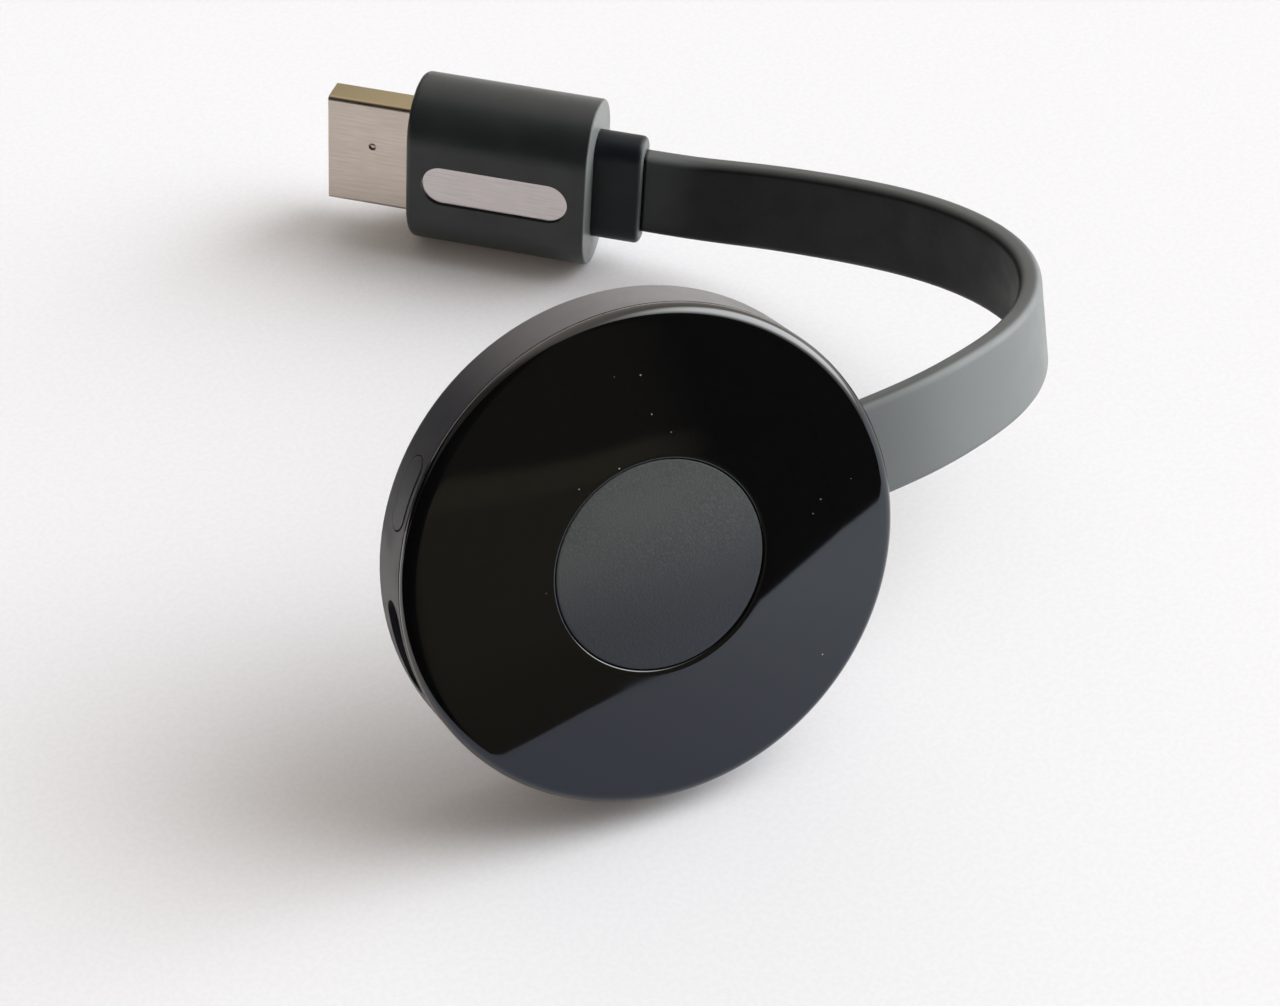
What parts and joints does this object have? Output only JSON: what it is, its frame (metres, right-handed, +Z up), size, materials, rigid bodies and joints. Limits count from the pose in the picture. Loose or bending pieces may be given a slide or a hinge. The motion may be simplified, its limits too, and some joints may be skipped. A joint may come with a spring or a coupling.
{
  "type": "streaming media stick",
  "caption": "Round streaming dongle with a glossy domed face and matte rim, on a short flat cable that ends in a boxed video plug; the reset button on its rim presses in.",
  "frame": {"origin": "bottom centre of the disc's box, where its lower rear shoulder stands on the table; the cable and plug aren't counted", "axes": "+Z up, -Y towards the disc's face as it leans back from upright, +X towards the side where the cable leaves the disc"},
  "size_m": [0.0825, 0.1063, 0.0503],
  "materials": {
    "cover_matte": "fine matte",
    "cover_gloss": "high gloss",
    "medallion_matte": "fine grain",
    "gasket": "matte",
    "magnet_plating": "plated",
    "steel": "satin",
    "spreader": "rolled",
    "thermal_pad": "matte",
    "tinplate": "satin",
    "chip_resin": "matte",
    "ferrite": "matte",
    "capacitor": "satin",
    "circuit_board": "solder mask",
    "antenna_brass": "satin",
    "port_steel": "satin",
    "black_plastic": "satin",
    "gold_contact": "polished",
    "led": "satin",
    "clear_plastic": "clear",
    "button_matte": "fine matte",
    "switch_plastic": "satin",
    "plunger_plastic": "satin",
    "dome_steel": "satin",
    "grommet_rubber": "matte",
    "cable_jacket": "soft satin",
    "copper": "bare wire",
    "plug_matte": "fine matte",
    "inlay_steel": "fine satin",
    "plug_steel": "satin"
  },
  "bodies": {
    "stick": {"rear_cover": "cover_matte", "front_cover": "cover_gloss", "front_medallion": "medallion_matte", "seam_gasket": "gasket", "magnet": "magnet_plating", "magnet_yoke": "steel", "rear_heat_spreader": "spreader", "rear_thermal_pad": "thermal_pad", "rear_shield_can": "tinplate", "flash_chip": "chip_resin", "power_chip": "chip_resin", "power_inductors": "ferrite", "main_board": "circuit_board", "processor_chip": "chip_resin", "processor_pad": "thermal_pad", "memory_chip": "chip_resin", "wireless_chip": "chip_resin", "clock_crystal": "tinplate", "board_capacitors": "capacitor", "front_shield_frame": "tinplate", "front_shield_lid": "tinplate", "front_thermal_pad": "thermal_pad", "front_heat_spreader": "spreader", "upper_antenna": "antenna_brass", "lower_antenna": "antenna_brass", "board_screws": "steel", "usb_shell": "port_steel", "usb_tongue": "black_plastic", "usb_contacts": "gold_contact", "status_light": "led", "light_guide": "clear_plastic", "switch_base": "switch_plastic", "switch_dome": "dome_steel", "cable_grommet": "grommet_rubber", "cable_root": "cable_jacket", "cable_clamp": "steel", "clamp_screws": "steel", "cable_root_wires": "copper", "ribbon_cable": "cable_jacket", "plug_strain_relief": "grommet_rubber", "plug_housing": "plug_matte", "plug_inlay": "inlay_steel", "plug_face_plate": "black_plastic", "plug_cable_end": "cable_jacket", "plug_ferrule": "steel", "plug_wires": "copper", "plug_inner_mould": "black_plastic", "plug_board": "circuit_board", "plug_shield_can": "tinplate", "plug_shell": "plug_steel", "plug_insulator": "black_plastic", "plug_upper_contacts": "gold_contact", "plug_lower_contacts": "gold_contact"},
    "button": {"reset_button": "button_matte"},
    "plunger": {"switch_plunger": "plunger_plastic"}
  },
  "joints": [
    {"name": "reset_button_press", "type": "slide", "parent": "stick", "child": "button", "axis": [0.866, -0.1954, -0.4603], "range_m": [0, 0.0004], "stiffness_N_per_m": 400},
    {"name": "switch_plunger_press", "type": "slide", "parent": "stick", "child": "plunger", "axis": [0.866, -0.1954, -0.4603], "range_m": [0, 0.0004]}
  ],
  "couplings": [
    {"joint": "switch_plunger_press", "follows": "reset_button_press", "ratio": 1}
  ]
}
